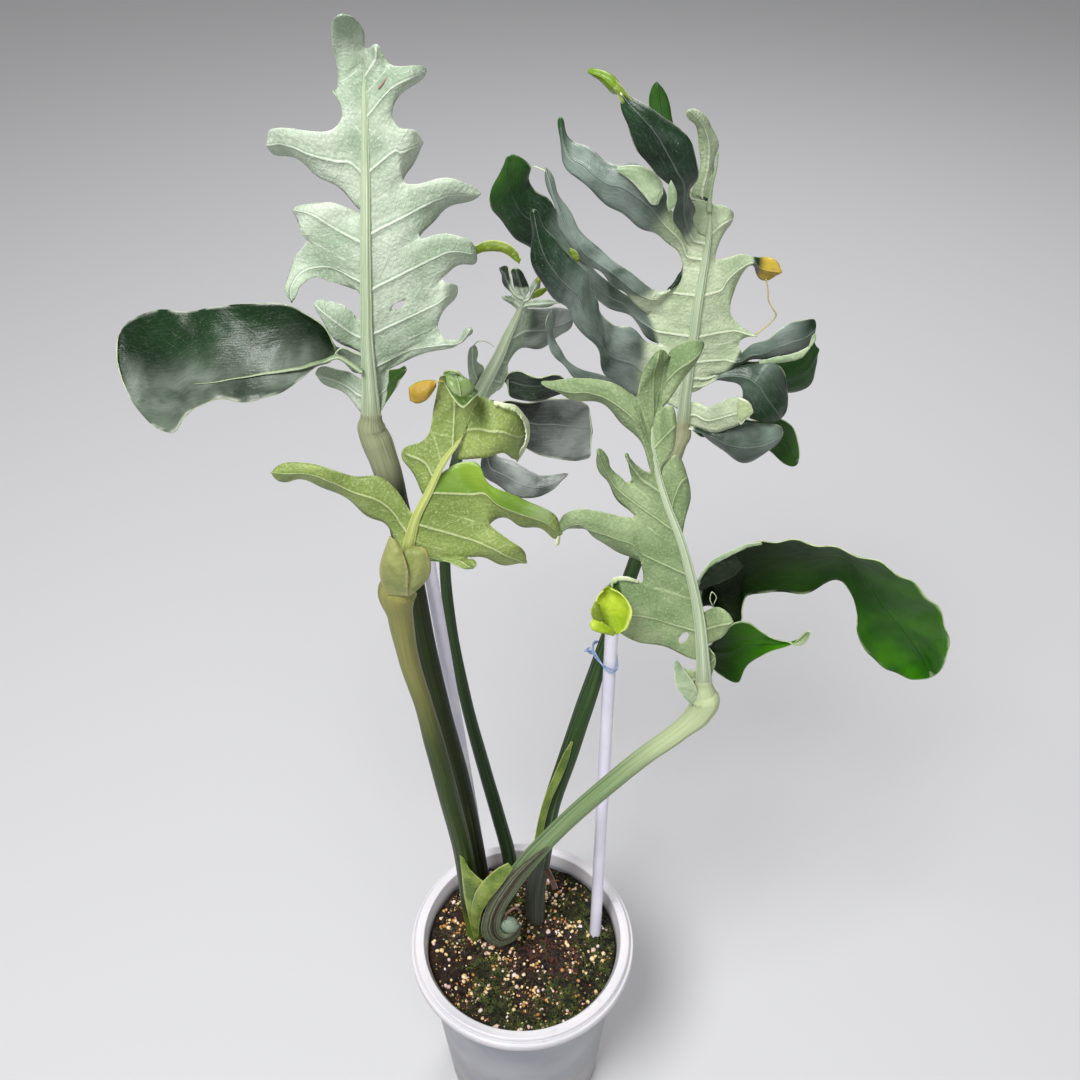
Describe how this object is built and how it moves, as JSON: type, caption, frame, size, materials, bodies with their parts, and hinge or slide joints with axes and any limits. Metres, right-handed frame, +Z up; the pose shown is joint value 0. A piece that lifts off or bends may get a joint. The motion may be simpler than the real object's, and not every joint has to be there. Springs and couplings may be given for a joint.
{
  "type": "potted split-leaf aroid plant",
  "caption": "Leafy house plant with deeply lobed silver-backed blades on long petioles, standing in a round white pot with support stakes.",
  "frame": {"origin": "centre of the pot's flat foot, on the surface that it stands on", "axes": "+Z up along the pot's axis, -Y towards the side that the leaves' silver backs face, +X to the right seen from there"},
  "size_m": [0.4184, 0.2168, 0.7355],
  "materials": {
    "silver_leaf": "satin, silvery underside over a glossy dark green upper side",
    "young_leaf": "satin yellow-green",
    "shaded_leaf": "satin dark green with a grey bloom",
    "petiole": "satin, streaked lengthways",
    "young_petiole": "satin, streaked lengthways",
    "stem": "rough, ringed",
    "stake": "smooth plastic coating",
    "wire": "plastic-coated wire",
    "soil": "crumbly potting mix with grit and moss",
    "pot": "smooth, slightly translucent"
  },
  "bodies": {
    "root": {"leaf_upper_left": "silver_leaf", "leaf_young": "young_leaf", "leaf_middle_back": "shaded_leaf", "leaf_upper_right": "silver_leaf", "leaf_front_right": "silver_leaf", "petiole_front_right": "petiole", "petiole_young": "young_petiole", "petiole_upper_right": "petiole", "petiole_upper_left": "petiole", "petiole_middle_back": "petiole", "stem": "stem", "stake_left": "stake", "stake_right": "stake", "wire_tie": "wire", "soil": "soil", "pot": "pot"}
  },
  "joints": []
}
